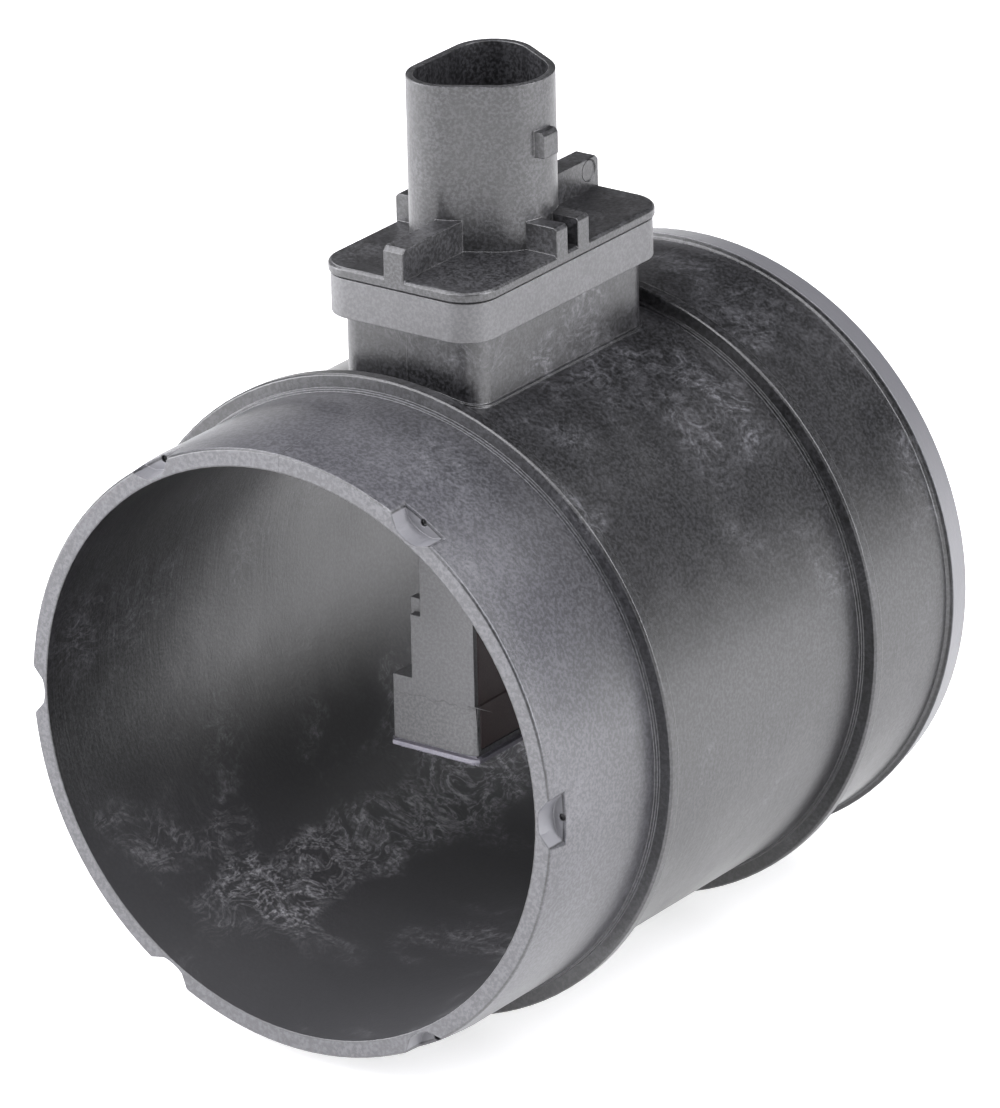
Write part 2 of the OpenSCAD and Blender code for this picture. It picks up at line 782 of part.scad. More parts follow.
module connector_lid() {
    color("#3a3b3e")
        difference() {
            union() {
                chamfer_plate(plate_x, plate_y, plate_cr, plate_z, plate_t, plate_chamfer);
                difference() {
                    prism(tray_x - tongue_gap, tray_y - tongue_gap, tray_cr - tongue_gap,
                        plate_z - tongue_h, rib_in);
                    prism(tray_x - tongue_gap - tongue_t, tray_y - tongue_gap - tongue_t,
                        tray_cr - tongue_gap - tongue_t, plate_z - tongue_h - 1, plate_z);
                }
                shroud_prism(0, rib_in, shroud_top);
                for (s = [-1, 1]) {
                    long_rib(s);
                    side_rib(s, side_rib_gap / 2);
                    side_rib(s, -side_rib_gap / 2 - side_rib_t);
                }
                shroud_nub();
            }
            shroud_prism(shroud_wall, cavity_z, shroud_top + 1);
            for (i = [0:3])
                pin_space(i, 0, plate_z - 1, cavity_z + 1);
            translate([long_rib_w / 2 - mark_depth, sensor_y + mark_y, plate_top + mark_z])
                rotate([0, 90, 0])
                    cylinder(r = mark_r, h = 1, $fn = 32);
        }
}

module terminal(i) {
    hx = terminal_t / 2;
    z1 = cavity_z + terminal_len;
    color("#b9bcc0")
        translate([terminal_x, sensor_y + pin_y(i) + terminal_w / 2, 0])
            rotate([90, 0, 0])
                linear_extrude(height = terminal_w)
                    polygon([[-hx, terminal_z0], [hx, terminal_z0], [hx, z1 - tip_len], [tip_half, z1],
                        [-tip_half, z1], [-hx, z1 - tip_len]]);
}

module terminal_1() {
    terminal(0);
}

module terminal_2() {
    terminal(1);
}

module terminal_3() {
    terminal(2);
}

module terminal_4() {
    terminal(3);
}

duct_tube();
base_gasket();
sensor_body();
plug_seal();
end_plate();
bypass_cover();
lead_cover();
chip_carrier();
carrier_tracks();
sensing_chip();
sensor_leads();
air_temperature_bead();
bead_wires();
circuit_board();
signal_chip();
voltage_regulator();
capacitors();
resistors();
solder_joints();
lid_gasket();
connector_lid();
terminal_1();
terminal_2();
terminal_3();
terminal_4();
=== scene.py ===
import bpy
import bmesh
import json
import math
from mathutils import Matrix, Vector


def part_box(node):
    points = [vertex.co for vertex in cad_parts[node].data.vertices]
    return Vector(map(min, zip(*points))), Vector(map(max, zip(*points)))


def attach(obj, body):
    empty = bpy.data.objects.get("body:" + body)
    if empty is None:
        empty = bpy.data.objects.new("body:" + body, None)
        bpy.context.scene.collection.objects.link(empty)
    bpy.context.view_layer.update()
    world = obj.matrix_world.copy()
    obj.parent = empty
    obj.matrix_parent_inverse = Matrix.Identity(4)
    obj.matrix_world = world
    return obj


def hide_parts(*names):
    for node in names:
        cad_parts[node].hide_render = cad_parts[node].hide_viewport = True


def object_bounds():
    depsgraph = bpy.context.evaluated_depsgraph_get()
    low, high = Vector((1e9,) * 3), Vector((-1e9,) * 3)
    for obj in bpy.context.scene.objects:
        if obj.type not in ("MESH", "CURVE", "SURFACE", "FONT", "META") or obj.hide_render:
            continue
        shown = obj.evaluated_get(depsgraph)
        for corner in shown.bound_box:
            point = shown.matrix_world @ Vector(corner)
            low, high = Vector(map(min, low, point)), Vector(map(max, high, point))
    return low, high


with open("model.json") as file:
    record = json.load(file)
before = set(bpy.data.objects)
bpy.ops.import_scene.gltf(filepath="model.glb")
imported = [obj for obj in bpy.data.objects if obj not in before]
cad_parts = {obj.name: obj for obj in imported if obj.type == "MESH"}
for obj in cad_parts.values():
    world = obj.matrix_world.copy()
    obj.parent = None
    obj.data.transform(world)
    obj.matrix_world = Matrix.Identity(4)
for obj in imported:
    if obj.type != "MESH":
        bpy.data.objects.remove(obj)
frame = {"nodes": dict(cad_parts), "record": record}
cad_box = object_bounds()
nodes = frame["nodes"]
MM = 0.001


def bearing(azimuth, elevation):
    """Direction from the part, in degrees: azimuth from the front towards the right, then upwards."""
    turn, rise = math.radians(azimuth), math.radians(elevation)
    return Vector((math.sin(turn) * math.cos(rise), -math.cos(turn) * math.cos(rise), math.sin(rise)))


def new_piece(name, mesh):
    piece = bpy.data.objects.new(name, mesh)
    bpy.context.scene.collection.objects.link(piece)
    return piece


def apply_modifiers(piece):
    """What the piece's modifiers make becomes its own plain mesh."""
    done = bpy.data.meshes.new_from_object(
        piece.evaluated_get(bpy.context.evaluated_depsgraph_get()))
    done.name = piece.name
    piece.modifiers.clear()
    piece.data = done


# camera
CAMERA_PLACE = (0.72645, -0.96243, 0.50974)
CAMERA_AZIMUTH = 36.064
CAMERA_ELEVATION = 21.951
CAMERA_ROLL = -1.312
CAMERA_LENS = 312.85
SENSOR_WIDTH = 36


def aim_camera():
    """Camera at its place, looking back along its bearing and rolled about that line."""
    back = bearing(CAMERA_AZIMUTH, CAMERA_ELEVATION)
    level = Vector((math.cos(math.radians(CAMERA_AZIMUTH)), math.sin(math.radians(CAMERA_AZIMUTH)), 0))
    rise = back.cross(level)
    roll = math.radians(CAMERA_ROLL)
    right = math.cos(roll) * level + math.sin(roll) * rise
    up = -math.sin(roll) * level + math.cos(roll) * rise
    data = bpy.data.cameras.new("camera")
    data.lens = CAMERA_LENS
    data.sensor_width = SENSOR_WIDTH
    data.clip_start = 0.05
    data.clip_end = 20
    camera = bpy.data.objects.new("camera", data)
    camera.matrix_world = Matrix((
        (right.x, up.x, back.x, CAMERA_PLACE[0]),
        (right.y, up.y, back.y, CAMERA_PLACE[1]),
        (right.z, up.z, back.z, CAMERA_PLACE[2]),
        (0, 0, 0, 1)))
    bpy.context.scene.collection.objects.link(camera)
    bpy.context.scene.camera = camera


aim_camera()


# helpers for node trees
class Tree:
    """Short hand for adding and joining the nodes of one tree."""

    def __init__(self, node_tree):
        self.node_tree = node_tree

    def add(self, kind, **values):
        node = self.node_tree.nodes.new(kind)
        for name, value in values.items():
            setattr(node, name, value)
        return node

    def put(self, socket, value):
        """A link where the value is another node's socket, and else a constant."""
        if isinstance(value, bpy.types.NodeSocket):
            self.node_tree.links.new(value, socket)
        elif value is not None:
            socket.default_value = value

    def math(self, operation, a, b=None, clamp=False):
        node = self.add("ShaderNodeMath", operation=operation, use_clamp=clamp)
        self.put(node.inputs[0], a)
        self.put(node.inputs[1], b)
        return node.outputs[0]

    def plus(self, a, b, clamp=False):
        return self.math("ADD", a, b, clamp)

    def minus(self, a, b):
        return self.math("SUBTRACT", a, b)

    def times(self, a, b):
        return self.math("MULTIPLY", a, b)

    def size(self, a):
        return self.math("ABSOLUTE", a)

    def noise(self, vector, scale, detail=3, rough=0.55, distortion=0):
        node = self.add("ShaderNodeTexNoise")
        self.put(node.inputs["Vector"], vector)
        self.put(node.inputs["Scale"], scale)
        node.inputs["Detail"].default_value = detail
        node.inputs["Roughness"].default_value = rough
        node.inputs["Distortion"].default_value = distortion
        return node.outputs["Fac"]

    def swirl(self, vector, scale, reach):
        """The vector pushed about by up to reach, for patterns that curl."""
        node = self.add("ShaderNodeTexNoise")
        self.put(node.inputs["Vector"], vector)
        node.inputs["Scale"].default_value = scale
        node.inputs["Detail"].default_value = 2
        push = self.add("ShaderNodeVectorMath", operation="MULTIPLY_ADD")
        self.put(push.inputs[0], node.outputs["Color"])
        push.inputs[1].default_value = (reach, reach, reach)
        self.put(push.inputs[2], vector)
        return push.outputs[0]

    def parts(self, vector):
        node = self.add("ShaderNodeSeparateXYZ")
        self.put(node.inputs[0], vector)
        return node.outputs["X"], node.outputs["Y"], node.outputs["Z"]

    def stretch(self, vector, scale):
        node = self.add("ShaderNodeMapping")
        self.put(node.inputs["Vector"], vector)
        node.inputs["Scale"].default_value = scale
        return node.outputs["Vector"]

    def ramp(self, value, low, high, to_low=0.0, to_high=1.0):
        """Smooth change from to_low at low to to_high at high."""
        node = self.add("ShaderNodeMapRange", interpolation_type="SMOOTHSTEP")
        self.put(node.inputs["Value"], value)
        node.inputs["From Min"].default_value = low
        node.inputs["From Max"].default_value = high
        node.inputs["To Min"].default_value = to_low
        node.inputs["To Max"].default_value = to_high
        return node.outputs["Result"]

    def past(self, value, edge, soft):
        """0 before the edge and 1 past it, changing over soft on each side (both in mm)."""
        return self.ramp(value, (edge - soft) * MM, (edge + soft) * MM)

    def short_of(self, value, edge, soft):
        """1 before the edge and 0 past it, changing over soft on each side (both in mm)."""
        return self.ramp(value, (edge + soft) * MM, (edge - soft) * MM)

    def blend(self, amount, a, b):
        node = self.add("ShaderNodeMix", data_type="RGBA")
        self.put(node.inputs["Factor"], amount)
        self.put(node.inputs[6], a)
        self.put(node.inputs[7], b)
        return node.outputs[2]


def group_tree(name, inputs, outputs):
    """A new shader node group with float outputs, its input node and its output node."""
    node_tree = bpy.data.node_groups.new(name, "ShaderNodeTree")
    for label, kind, value in inputs:
        socket = node_tree.interface.new_socket(label, in_out="INPUT", socket_type=kind)
        if value is not None:
            socket.default_value = value
    for label in outputs:
        node_tree.interface.new_socket(label, in_out="OUTPUT", socket_type="NodeSocketFloat")
    tree = Tree(node_tree)
    return tree, tree.add("NodeGroupInput"), tree.add("NodeGroupOutput")


def use_group(tree, group, **inputs):
    node = tree.add("ShaderNodeGroup", node_tree=group)
    for name, value in inputs.items():
        tree.put(node.inputs[name], value)
    return node


# patterns in the skin of the mouldings, with noise scales in features to the metre
PATCH_SCALE = 60.0
WISP_SCALE = 620.0
CURL_SCALE = 90
CURL_REACH = 14 * MM
BREAK_SCALE = 1500
CLOUD_SCALE = 420
FAINT_SCALE = 90
MOTTLE_SCALE = 160
WAVE_SCALE = 260
DRAWN_OUT = (1.0, 0.24, 1.0)
ROUND_DUCT = (0.03, 1.0, 0.03)
BROAD_SHARE = 0.13
LINE_PITCH = 0.45


def make_flow_marks():
    """Pale feathered wisps that glass fibres leave near the skin of the moulding.

    Haze is the broad cloud that says where they gather, and Cover is how much of it stays bare.
    """
    tree, given, result = group_tree(
        "flow_marks",
        [("Vector", "NodeSocketVector", None), ("Patch", "NodeSocketFloat", PATCH_SCALE),
         ("Wisp", "NodeSocketFloat", WISP_SCALE), ("Cover", "NodeSocketFloat", 0.5)],
        ["Mask", "Haze"])
    place = given.outputs["Vector"]
    haze = tree.noise(place, given.outputs["Patch"], 4, 0.6, 0.4)
    curled = tree.swirl(place, CURL_SCALE, CURL_REACH)
    wisp = tree.noise(tree.stretch(curled, DRAWN_OUT), given.outputs["Wisp"], 4, 0.55)
    ridge = tree.ramp(tree.size(tree.minus(wisp, 0.5)), 0.06, 0.0)
    broken = tree.ramp(tree.noise(place, BREAK_SCALE, 3, 0.6), 0.3, 0.62, 0.15, 1.0)
    where = tree.ramp(tree.minus(haze, given.outputs["Cover"]), -0.06, 0.2)
    cloud = tree.ramp(tree.noise(curled, CLOUD_SCALE, 5, 0.7), 0.42, 0.75)
    marks = tree.plus(tree.times(ridge, 0.5), tree.times(cloud, 0.8), clamp=True)
    tree.put(result.inputs["Mask"], tree.times(tree.times(where, marks), broken))
    tree.put(result.inputs["Haze"], haze)
    return tree.node_tree


def make_skin_grain():
    """Fine uneven skin of a moulding: grain for colour and height for a bump. Size is in mm."""
    tree, given, result = group_tree(
        "skin_grain",
        [("Vector", "NodeSocketVector", None), ("Size", "NodeSocketFloat", 0.4)],
        ["Speckle", "Height"])
    place = given.outputs["Vector"]
    scale = tree.math("DIVIDE", 1 / MM, given.outputs["Size"])
    fine = tree.noise(place, scale, 3, 0.6)
    broad = tree.noise(place, tree.times(scale, BROAD_SHARE), 2, 0.5)
    tree.put(result.inputs["Speckle"], tree.ramp(fine, 0.38, 0.66))
    tree.put(result.inputs["Height"], tree.plus(fine, tree.times(broad, 1.4)))
    return tree.node_tree


def make_tool_lines():
    """Fine lines round the duct that the turned core and cavity left. Pitch is in mm."""
    tree, given, result = group_tree(
        "tool_lines",
        [("Vector", "NodeSocketVector", None), ("Pitch", "NodeSocketFloat", LINE_PITCH)],
        ["Line"])
    place = given.outputs["Vector"]
    scale = tree.math("DIVIDE", 1 / MM, given.outputs["Pitch"])
    lines = tree.noise(tree.stretch(place, ROUND_DUCT), scale, 2, 0.6)
    faint = tree.ramp(tree.noise(place, FAINT_SCALE, 2), 0.35, 0.65)
    tree.put(result.inputs["Line"], tree.times(lines, faint))
    return tree.node_tree


FLOW = make_flow_marks()
GRAIN = make_skin_grain()
LINES = make_tool_lines()


# materials
MOULDING_IOR = 1.8
RELIEF = 0.042 * MM


def shade(value, cool=0.0):
    """Grey of the given value, a little bluer by cool."""
    return (value, value, value * (1 + cool), 1)


def new_material(name):
    material = bpy.data.materials.new(name)
    material.use_nodes = True
    material.node_tree.nodes.clear()
    tree = Tree(material.node_tree)
    shader = tree.add("ShaderNodeBsdfPrincipled")
    tree.put(tree.add("ShaderNodeOutputMaterial").inputs["Surface"], shader.outputs["BSDF"])
    return material, tree, shader


def object_place(tree):
    return tree.add("ShaderNodeTexCoord").outputs["Object"]


def finish_moulding(tree, shader, tone, gloss, height, bump):
    """Colour, roughness and relief into the shader of a moulded plastic."""
    shader.inputs["IOR"].default_value = MOULDING_IOR
    tree.put(shader.inputs["Base Color"], tone)
    tree.put(shader.inputs["Roughness"], gloss)
    relief = tree.add("ShaderNodeBump")
    relief.inputs["Strength"].default_value = bump
    relief.inputs["Distance"].default_value = RELIEF
    tree.put(relief.inputs["Height"], height)
    tree.put(shader.inputs["Normal"], relief.outputs["Normal"])


def moulded(name, dark, light, rough, grain=0.3, bump=0.5, speckle=0.7):
    """Plain moulding: dark skin with fine paler speckle and a soft cloud in tone and gloss."""
    material, tree, shader = new_material(name)
    place = object_place(tree)
    skin = use_group(tree, GRAIN, Vector=place, Size=grain)
    cloud = tree.noise(place, MOTTLE_SCALE, 3)
    amount = tree.times(skin.outputs["Speckle"], speckle)
    amount = tree.times(amount, tree.ramp(cloud, 0.25, 0.7, 0.5, 1.0))
    tone = tree.blend(amount, dark, light)
    gloss = tree.ramp(cloud, 0.3, 0.7, rough - 0.04, rough + 0.05)
    finish_moulding(tree, shader, tone, gloss, skin.outputs["Height"], bump)
    return material


def plain_metal(name, tint, rough):
    """Bare metal whose fine grain is a little darker and smoother in its hollows."""
    material, tree, shader = new_material(name)
    speckle = use_group(tree, GRAIN, Vector=object_place(tree), Size=0.2).outputs["Speckle"]
    hollow = tuple(0.8 * part for part in tint[:3]) + (1,)
    tree.put(shader.inputs["Base Color"], tree.blend(speckle, hollow, tint))
    tree.put(shader.inputs["Roughness"], tree.ramp(speckle, 0, 1, rough - 0.06, rough + 0.08))
    shader.inputs["Metallic"].default_value = 1.0
    return material


# where the zones of the tube's skin change, in mm from the duct's axis or along it
BORE_EDGE = 41.2
WALL_EDGE = 43.3
OUTER_EDGE = 43.475
FACE_BACK = -14.66
NOTCH_BACK = -11.4
FRONT_RIB = 9.3
BEAD_FRONT = 80.825
# height in mm under which the bore is painted paler, as painted light
PAINTED_LIGHT_BELOW = -18
PARTING_X = 0.15
BARE_COVER = 0.575


def near_bearing(tree, x, z, degrees, full, gone):
    """Band along the tube at a bearing from its top: 1 where the skin reaches out that way by
    more than full, and 0 where it reaches less than gone (both in mm)."""
    turn = math.radians(degrees)
    reach = tree.plus(tree.times(x, math.sin(turn)), tree.times(z, math.cos(turn)))
    return tree.ramp(reach, gone * MM, full * MM)


def tube_cover(tree, x, y, z):
    """How much of the skin is bare of flow marks: less in two bands of the bore and one on top."""
    bore_low_band = near_bearing(tree, x, z, -148, 41.0, 40.2)
    top_band = near_bearing(tree, x, z, 30, 43.6, 41.2)
    bore_left_band = near_bearing(tree, x, z, -78, 41.0, 40.0)
    before_rear_rib = tree.ramp(y, 60 * MM, 48 * MM, 0.0, 0.12)
    cover = tree.minus(BARE_COVER, tree.times(bore_low_band, 0.24))
    cover = tree.minus(cover, tree.times(top_band, before_rear_rib))
    return tree.minus(cover, tree.times(bore_left_band, 0.12))


def tube_plastic():
    """Glass-filled tube: flow marks gather in bands along it, tool lines run round it."""
    material, tree, shader = new_material("tube_moulding")
    place = object_place(tree)
    x, y, z = tree.parts(place)
    radius = tree.math("SQRT", tree.plus(tree.times(x, x), tree.times(z, z)))
    flow = use_group(tree, FLOW, Vector=place, Cover=tube_cover(tree, x, y, z))
    skin = use_group(tree, GRAIN, Vector=place, Size=0.5)
    line = use_group(tree, LINES, Vector=place).outputs["Line"]
    speckle = skin.outputs["Speckle"]

    # zones of the skin
    outside = tree.past(radius, OUTER_EDGE, 0.075)
    in_wall = tree.times(tree.past(radius, BORE_EDGE, 0.1), tree.short_of(radius, WALL_EDGE, 0.1))
    rim = tree.times(in_wall, tree.short_of(y, NOTCH_BACK, 0.1))
    notch_wall = tree.times(rim, tree.past(y, FACE_BACK, 0.06))
    bead = tree.times(outside, tree.past(y, BEAD_FRONT, 0.075))
    # the front sleeve's haze is its own; its fall to under half towards the front rib is painted shade and
    # painted reflection of the rib
    sleeve = tree.times(outside, tree.ramp(y, FRONT_RIB * MM, -8 * MM, 0.45, 1.0))
    sleeve = tree.times(sleeve, tree.short_of(y, FRONT_RIB, 0.05))
    # mask of the lower bore, where painted light goes
    painted_light_low_bore = tree.times(tree.short_of(radius, BORE_EDGE, 0.1), tree.short_of(z, PAINTED_LIGHT_BELOW, 10))

    # colour: dark skin, hazy front sleeve with painted shade towards the front rib, painted light in the
    # lower bore, paler flow marks, then painted highlights on the rim, its notch walls and the bead
    tone = tree.blend(speckle, shade(0.003, 0.1), shade(0.03, 0.1))
    haze_and_painted_shade = tree.times(sleeve, tree.ramp(speckle, 0, 1, 0.5, 1.0))
    tone = tree.blend(haze_and_painted_shade, tone, shade(0.095, 0.12))
    # painted light: the lower bore is painted paler, standing in for the light it catches
    tone = tree.blend(tree.times(painted_light_low_bore, 0.7), tone, shade(0.09, 0.05))
    # flow marks are the skin's own; in the lower bore they are painted much paler, which is painted light
    mark_and_painted_light_tone = tree.blend(painted_light_low_bore, shade(0.16, 0.08), shade(0.5, 0.04))
    tone = tree.blend(flow.outputs["Mask"], tone, mark_and_painted_light_tone)
    # painted highlight: the rim face is painted paler than the skin
    painted_highlight_tone = tree.blend(speckle, shade(0.06, 0.08), shade(0.11, 0.08))
    # painted highlight: the notch walls are painted paler still
    painted_highlight_tone = tree.blend(notch_wall, painted_highlight_tone, shade(0.17, 0.08))
    # painted highlight: the rear bead is painted paler
    painted_highlight_tone = tree.blend(bead, painted_highlight_tone, shade(0.14, 0.08))
    tone = tree.blend(tree.math("MAXIMUM", rim, bead), tone, painted_highlight_tone)

    # gloss, and relief with the parting line along the top
    gloss = tree.ramp(flow.outputs["Haze"], 0.3, 0.7, 0.285, 0.335)
    gloss = tree.plus(gloss, tree.times(line, 0.08))
    gloss = tree.plus(gloss, tree.times(rim, 0.12))
    off_line = tree.size(tree.minus(x, PARTING_X * MM))
    parting = tree.times(tree.short_of(off_line, 0.06, 0.03), tree.past(z, 0.5, 0.5))
    height = tree.plus(skin.outputs["Height"], tree.times(line, 0.9))
    height = tree.plus(height, tree.times(parting, 1.6))
    finish_moulding(tree, shader, tone, gloss, height, 0.6)
    return material


# the knit line across the probe's lower block, in mm
KNIT_Z = -4.0
KNIT_WANDER = 2.2


def sensor_plastic():
    """Grey moulding of collar and probe. A fine wavy knit line crosses the lower block."""
    material, tree, shader = new_material("sensor_moulding")
    place = object_place(tree)
    skin = use_group(tree, GRAIN, Vector=place, Size=0.42)
    wave = tree.times(tree.minus(tree.noise(place, WAVE_SCALE, 3), 0.5), KNIT_WANDER * MM)
    over = tree.minus(tree.plus(tree.parts(place)[2], wave), KNIT_Z * MM)
    lower = tree.short_of(over, 0, 0.03)
    knit = tree.short_of(tree.size(over), 0.07, 0.03)
    amount = tree.times(skin.outputs["Speckle"], tree.ramp(lower, 0, 1, 0.45, 0.95))
    tone = tree.blend(amount, shade(0.08, 0.03), shade(0.17, 0.04))
    tone = tree.blend(tree.times(lower, 0.35), tone, shade(0.06))
    tone = tree.blend(tree.times(knit, 0.6), tone, shade(0.03))
    gloss = tree.ramp(tree.noise(place, MOTTLE_SCALE, 3), 0.3, 0.7, 0.42, 0.5)
    height = tree.times(skin.outputs["Height"], tree.ramp(lower, 0, 1, 0.5, 1.1))
    height = tree.minus(height, tree.times(knit, 0.8))
    finish_moulding(tree, shader, tone, gloss, height, 0.6)
    return material


MATERIALS = {
    "tube_plastic": tube_plastic(),
    "lid_plastic": moulded("lid_moulding", shade(0.008, 0.08), shade(0.062, 0.08),
                           rough=0.34, grain=0.45, bump=0.7, speckle=1.0),
    "sensor_plastic": sensor_plastic(),
    "cover_plastic": moulded("cover_moulding", (0.045, 0.022, 0.022, 1), (0.075, 0.042, 0.04, 1),
                             rough=0.5, bump=0.8),
    "end_plate_plastic": moulded("end_plate_moulding", (0.24, 0.23, 0.27, 1), (0.36, 0.35, 0.4, 1),
                                 rough=0.45, bump=0.8),
    "gasket_rubber": moulded("gasket_rubber", shade(0.006), shade(0.012), rough=0.6),
    "seal_silicone": moulded("seal_silicone", (0.25, 0.05, 0.03, 1), (0.34, 0.08, 0.05, 1), rough=0.5),
    "carrier_ceramic": moulded("carrier_ceramic", shade(0.68, -0.04), shade(0.78, -0.04), rough=0.45),
    "track_gold": plain_metal("track_gold", (0.78, 0.56, 0.22, 1), rough=0.3),
    "chip_silicon": moulded("chip_silicon", (0.05, 0.06, 0.09, 1), (0.07, 0.08, 0.12, 1),
                            rough=0.12, grain=0.5, bump=0.05),
    "lead_metal": plain_metal("lead_metal", (0.62, 0.57, 0.5, 1), rough=0.3),
    "bead_glass": moulded("bead_glass", shade(0.01), shade(0.015), rough=0.12, grain=0.5, bump=0.1),
    "board_laminate": moulded("board_laminate", (0.01, 0.09, 0.04, 1), (0.02, 0.13, 0.06, 1),
                              rough=0.3, grain=0.6, bump=0.2),
    "package_black": moulded("package_black", shade(0.015), shade(0.025),
                             rough=0.4, grain=0.2, bump=0.3),
    "capacitor_ceramic": moulded("capacitor_ceramic", (0.38, 0.24, 0.12, 1), (0.45, 0.3, 0.16, 1),
                                 rough=0.4),
    "solder": plain_metal("solder_metal", (0.75, 0.76, 0.77, 1), rough=0.2),
    "terminal_tin": plain_metal("terminal_metal", (0.62, 0.63, 0.65, 1), rough=0.32),
}

slot_of = {row["node"]: row["material_slot"] for row in frame["record"]["subparts"]}
for name, obj in nodes.items():
    obj.data.materials.clear()
    obj.data.materials.append(MATERIALS[slot_of[name]])


# rounded stand-ins for the main mouldings, each with the radius of its edges in mm
ROUNDED = (
    ("duct_tube", "tube_moulding", 0.12),
    ("sensor_body", "sensor_moulding", 0.15),
    ("connector_lid", "lid_moulding", 0.15),
    ("bypass_cover", "bypass_cover_moulding", 0.12),
    ("lead_cover", "lead_cover_moulding", 0.12),
    ("end_plate", "end_plate_moulding", 0.1))
EDGE_ANGLE = math.radians(28)
FLAT_ANGLE = math.radians(0.6)
SAME_POINT = 0.002 * MM
ROUND_SEGMENTS = 2


def rounded(node, name, radius):
    """The node's own shape with its moulded edges rounded, standing in for it."""
    mesh = nodes[node].data.copy()
    shape = bmesh.new()
    shape.from_mesh(mesh)
    bmesh.ops.remove_doubles(shape, verts=shape.verts, dist=SAME_POINT)
    bmesh.ops.dissolve_limit(shape, angle_limit=FLAT_ANGLE, verts=shape.verts, edges=shape.edges)
    shape.to_mesh(mesh)
    shape.free()
    if "custom_normal" in mesh.attributes:
        mesh.attributes.remove(mesh.attributes["custom_normal"])
    mesh.shade_smooth()
    mesh.set_sharp_from_angle(angle=EDGE_ANGLE)
    piece = new_piece(name, mesh)
    bevel = piece.modifiers.new("round", "BEVEL")
    bevel.width = radius
    bevel.segments = ROUND_SEGMENTS
    bevel.limit_method = "ANGLE"
    bevel.angle_limit = EDGE_ANGLE
    bevel.use_clamp_overlap = False
    bevel.harden_normals = True
    apply_modifiers(piece)
    piece.data.materials.clear()
    piece.data.materials.append(MATERIALS[slot_of[node]])
    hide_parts(node)
    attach(piece, "root")


for node, name, radius in ROUNDED:
    rounded(node, name, radius * MM)


# weld flash on the end plate, in mm
FLASH_SIDE_RUN = 8
FLASH_INSET = 0.1
FLASH_LIFT = 0.02
FLASH_BELOW_START = 1.5


def make_flash_tree():
    """Geometry nodes that strew small rough crumbs along a line, and the names of their inputs."""
    node_tree = bpy.data.node_groups.new("weld_flash", "GeometryNodeTree")
    face = node_tree.interface
    face.new_socket("Geometry", in_out="INPUT", socket_type="NodeSocketGeometry")
    named = {}
    for label, kind in (("Spacing", "NodeSocketFloat"), ("Crumb", "NodeSocketFloat"),
                        ("Scatter", "NodeSocketFloat"), ("Seed", "NodeSocketInt"),
                        ("Material", "NodeSocketMaterial")):
        named[label] = face.new_socket(label, in_out="INPUT", socket_type=kind).identifier
    face.new_socket("Geometry", in_out="OUTPUT", socket_type="NodeSocketGeometry")
    tree = Tree(node_tree)
    given, result = tree.add("NodeGroupInput"), tree.add("NodeGroupOutput")

    def varied(low, high):
        node = tree.add("FunctionNodeRandomValue", data_type="FLOAT_VECTOR")
        node.inputs["Min"].default_value = low
        node.inputs["Max"].default_value = high
        tree.put(node.inputs["Seed"], given.outputs["Seed"])
        return node.outputs[0]

    # points along the line, moved a little off it
    curve = tree.add("GeometryNodeMeshToCurve")
    tree.put(curve.inputs["Mesh"], given.outputs["Geometry"])
    points = tree.add("GeometryNodeCurveToPoints", mode="LENGTH")
    tree.put(points.inputs["Curve"], curve.outputs["Curve"])
    tree.put(points.inputs["Length"], given.outputs["Spacing"])
    spread = tree.add("ShaderNodeVectorMath", operation="SCALE")
    tree.put(spread.inputs[0], varied((-1, -1, -1), (1, 1, 1)))
    tree.put(spread.inputs["Scale"], given.outputs["Scatter"])
    moved = tree.add("GeometryNodeSetPosition")
    tree.put(moved.inputs["Geometry"], points.outputs["Points"])
    tree.put(moved.inputs["Offset"], spread.outputs[0])

    # a crumb on each, turned and sized at random
    crumb = tree.add("GeometryNodeMeshIcoSphere")
    crumb.inputs["Subdivisions"].default_value = 2
    tree.put(crumb.inputs["Radius"], given.outputs["Crumb"])
    strewn = tree.add("GeometryNodeInstanceOnPoints")
    tree.put(strewn.inputs["Points"], moved.outputs["Geometry"])
    tree.put(strewn.inputs["Instance"], crumb.outputs["Mesh"])
    tree.put(strewn.inputs["Rotation"], varied((0, 0, 0), (0.5, 0.5, 6.28)))
    tree.put(strewn.inputs["Scale"], varied((0.4, 0.4, 0.3), (1.6, 1.1, 0.9)))
    real = tree.add("GeometryNodeRealizeInstances")
    tree.put(real.inputs["Geometry"], strewn.outputs["Instances"])
    dressed = tree.add("GeometryNodeSetMaterial")
    tree.put(dressed.inputs["Geometry"], real.outputs["Geometry"])
    tree.put(dressed.inputs["Material"], given.outputs["Material"])
    tree.put(result.inputs["Geometry"], dressed.outputs["Geometry"])
    return node_tree, named


FLASH, FLASH_INPUTS = make_flash_tree()


def weld_flash(name, corners, **values):
    """Crumbs along the line through the corners, the flash that welding squeezed out."""
    line = bpy.data.meshes.new(name)
    line.from_pydata(corners, [(i, i + 1) for i in range(len(corners) - 1)], [])
    piece = new_piece(name, line)
    modifier = piece.modifiers.new("flash", "NODES")
    modifier.node_group = FLASH
    values["Material"] = MATERIALS["end_plate_plastic"]
    for label, value in values.items():
        modifier[FLASH_INPUTS[label]] = value
    apply_modifiers(piece)
    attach(piece, "root")


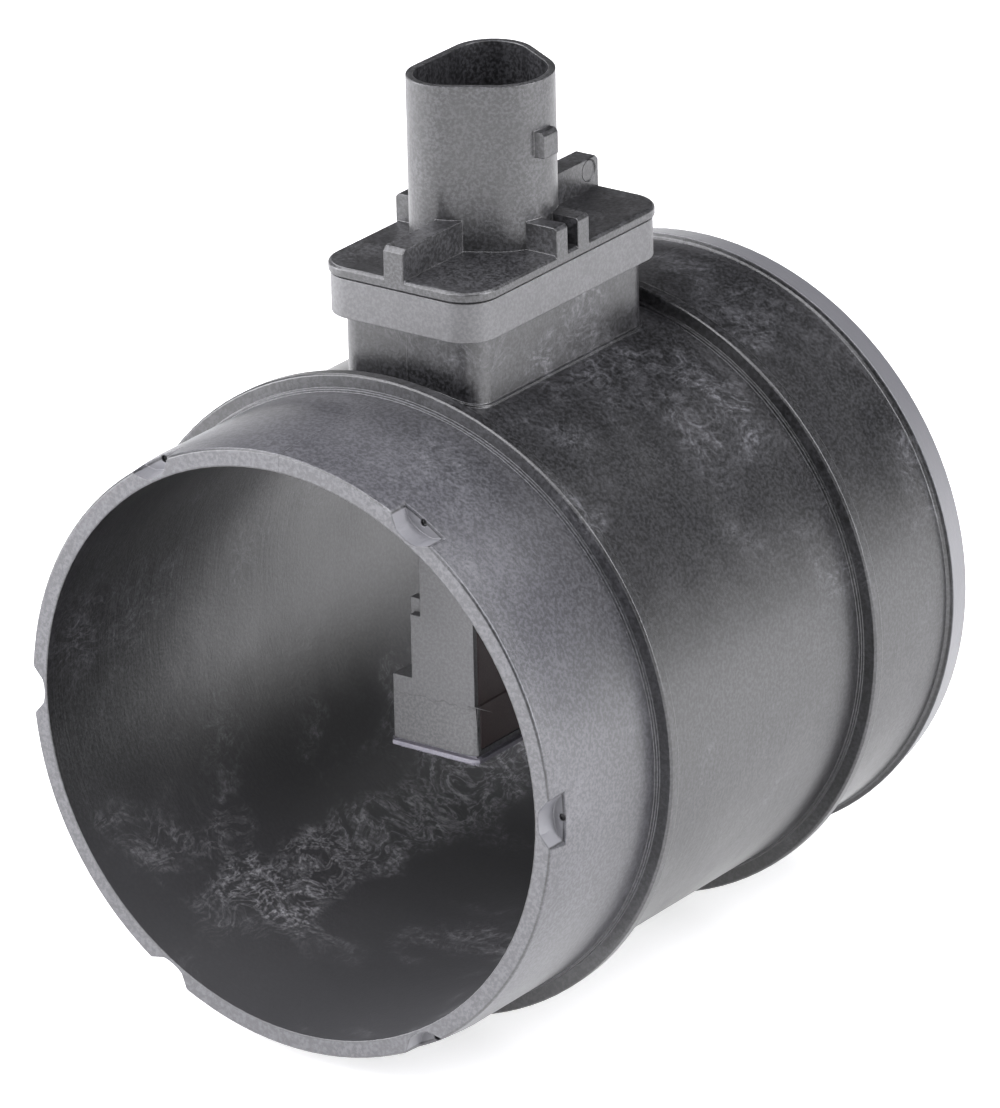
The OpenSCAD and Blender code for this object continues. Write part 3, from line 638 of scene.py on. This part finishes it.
def flash_end_plate():
    """Flash in the seam above the plate, on its front and sides, and under its front edge."""
    low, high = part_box("end_plate")
    left, right = low[0] + FLASH_INSET * MM, high[0] - FLASH_INSET * MM
    front = low[1] + FLASH_INSET * MM
    side_end = high[1] - FLASH_SIDE_RUN * MM
    seam = high[2] + FLASH_LIFT * MM
    weld_flash("end_plate_flash_above",
               [(left, side_end, seam), (left, front, seam), (right, front, seam), (right, side_end, seam)],
               Spacing=0.34 * MM, Crumb=0.11 * MM, Scatter=0.07 * MM, Seed=7)
    weld_flash("end_plate_flash_below",
               [(left + FLASH_BELOW_START * MM, front, low[2]), (right, front, low[2])],
               Spacing=0.3 * MM, Crumb=0.16 * MM, Scatter=0.09 * MM, Seed=3)


flash_end_plate()


# floor
FLOOR_GAP = 0.05 * MM
FLOOR_HALF = 5.0
FLOOR_WHITE = (0.86, 0.86, 0.86, 1)
FLOOR_GLOW = 0.6


def floor_material():
    """Matt white that also glows to what looks at it, so that only the shadow shows on it."""
    material, tree, shader = new_material("floor_white")
    shader.inputs["Base Color"].default_value = FLOOR_WHITE
    shader.inputs["Roughness"].default_value = 0.8
    shader.inputs["Specular IOR Level"].default_value = 0.0
    shader.inputs["Emission Color"].default_value = (1, 1, 1, 1)
    path = tree.add("ShaderNodeLightPath")
    seen = tree.math("MAXIMUM", path.outputs["Is Camera Ray"], path.outputs["Is Glossy Ray"])
    seen = tree.math("MAXIMUM", seen, path.outputs["Is Transmission Ray"])
    tree.put(shader.inputs["Emission Strength"], tree.times(seen, FLOOR_GLOW))
    return material


def make_floor():
    """Plain floor just under the part, which rests on it."""
    half, level = FLOOR_HALF, cad_box[0][2] - FLOOR_GAP
    mesh = bpy.data.meshes.new("floor")
    corners = [(-half, -half, level), (half, -half, level), (half, half, level), (-half, half, level)]
    mesh.from_pydata(corners, [], [(0, 1, 2, 3)])
    mesh.materials.append(floor_material())
    new_piece("floor", mesh)


make_floor()


# light: each lamp's bearing and height in degrees, its side in metres and its strength
LAMPS = (
    ("right_high", 105, 40, 0.6, 9.0),
    ("front_high", 0, 50, 0.6, 8.0),
    ("right_top", 60, 60, 0.6, 5.0),
    ("right_low", 105, 10, 0.45, 8.0),
    ("back_high", 135, 55, 0.6, 2.5),
    ("left_back", 250, 45, 0.6, 6.9),
    ("left_front", 310, 45, 0.6, 7.2),
    ("front_left", 335, 25, 0.6, 6.1),
    ("left_low", 300, 12, 0.6, 13.4))
LEVEL = 0.8
LAMP_DISTANCE = 1.2
LAMP_TINT = (0.985, 0.98, 1.02)
CENTRE = Vector((0, 0.035, 0.0))


def soft_box(name, azimuth, elevation, side, strength):
    """Square area lamp that faces the part, placed by its bearing as seen from the part."""
    way = bearing(azimuth, elevation)
    data = bpy.data.lights.new(name, "AREA")
    data.shape = "SQUARE"
    data.size = side
    data.energy = strength * LEVEL
    data.color = LAMP_TINT
    lamp = bpy.data.objects.new(name, data)
    lamp.location = CENTRE + way * LAMP_DISTANCE
    lamp.rotation_euler = way.to_track_quat("Z", "Y").to_euler()
    bpy.context.scene.collection.objects.link(lamp)


def make_world():
    """Pale all round near the horizon, dim above, as in a studio with a dark ceiling."""
    world = bpy.data.worlds.new("studio")
    world.use_nodes = True
    bpy.context.scene.world = world
    world.node_tree.nodes.clear()
    tree = Tree(world.node_tree)
    way = tree.add("ShaderNodeTexCoord").outputs["Generated"]
    back = tree.add("ShaderNodeBackground")
    back.inputs["Color"].default_value = (1, 1, 1, 1)
    tree.put(back.inputs["Strength"], tree.ramp(tree.parts(way)[2], 0.08, 0.2, 1.0, 0.05))
    tree.put(tree.add("ShaderNodeOutputWorld").inputs["Surface"], back.outputs["Background"])


for lamp_values in LAMPS:
    soft_box(*lamp_values)
make_world()
bpy.context.scene.view_settings.view_transform = "Standard"
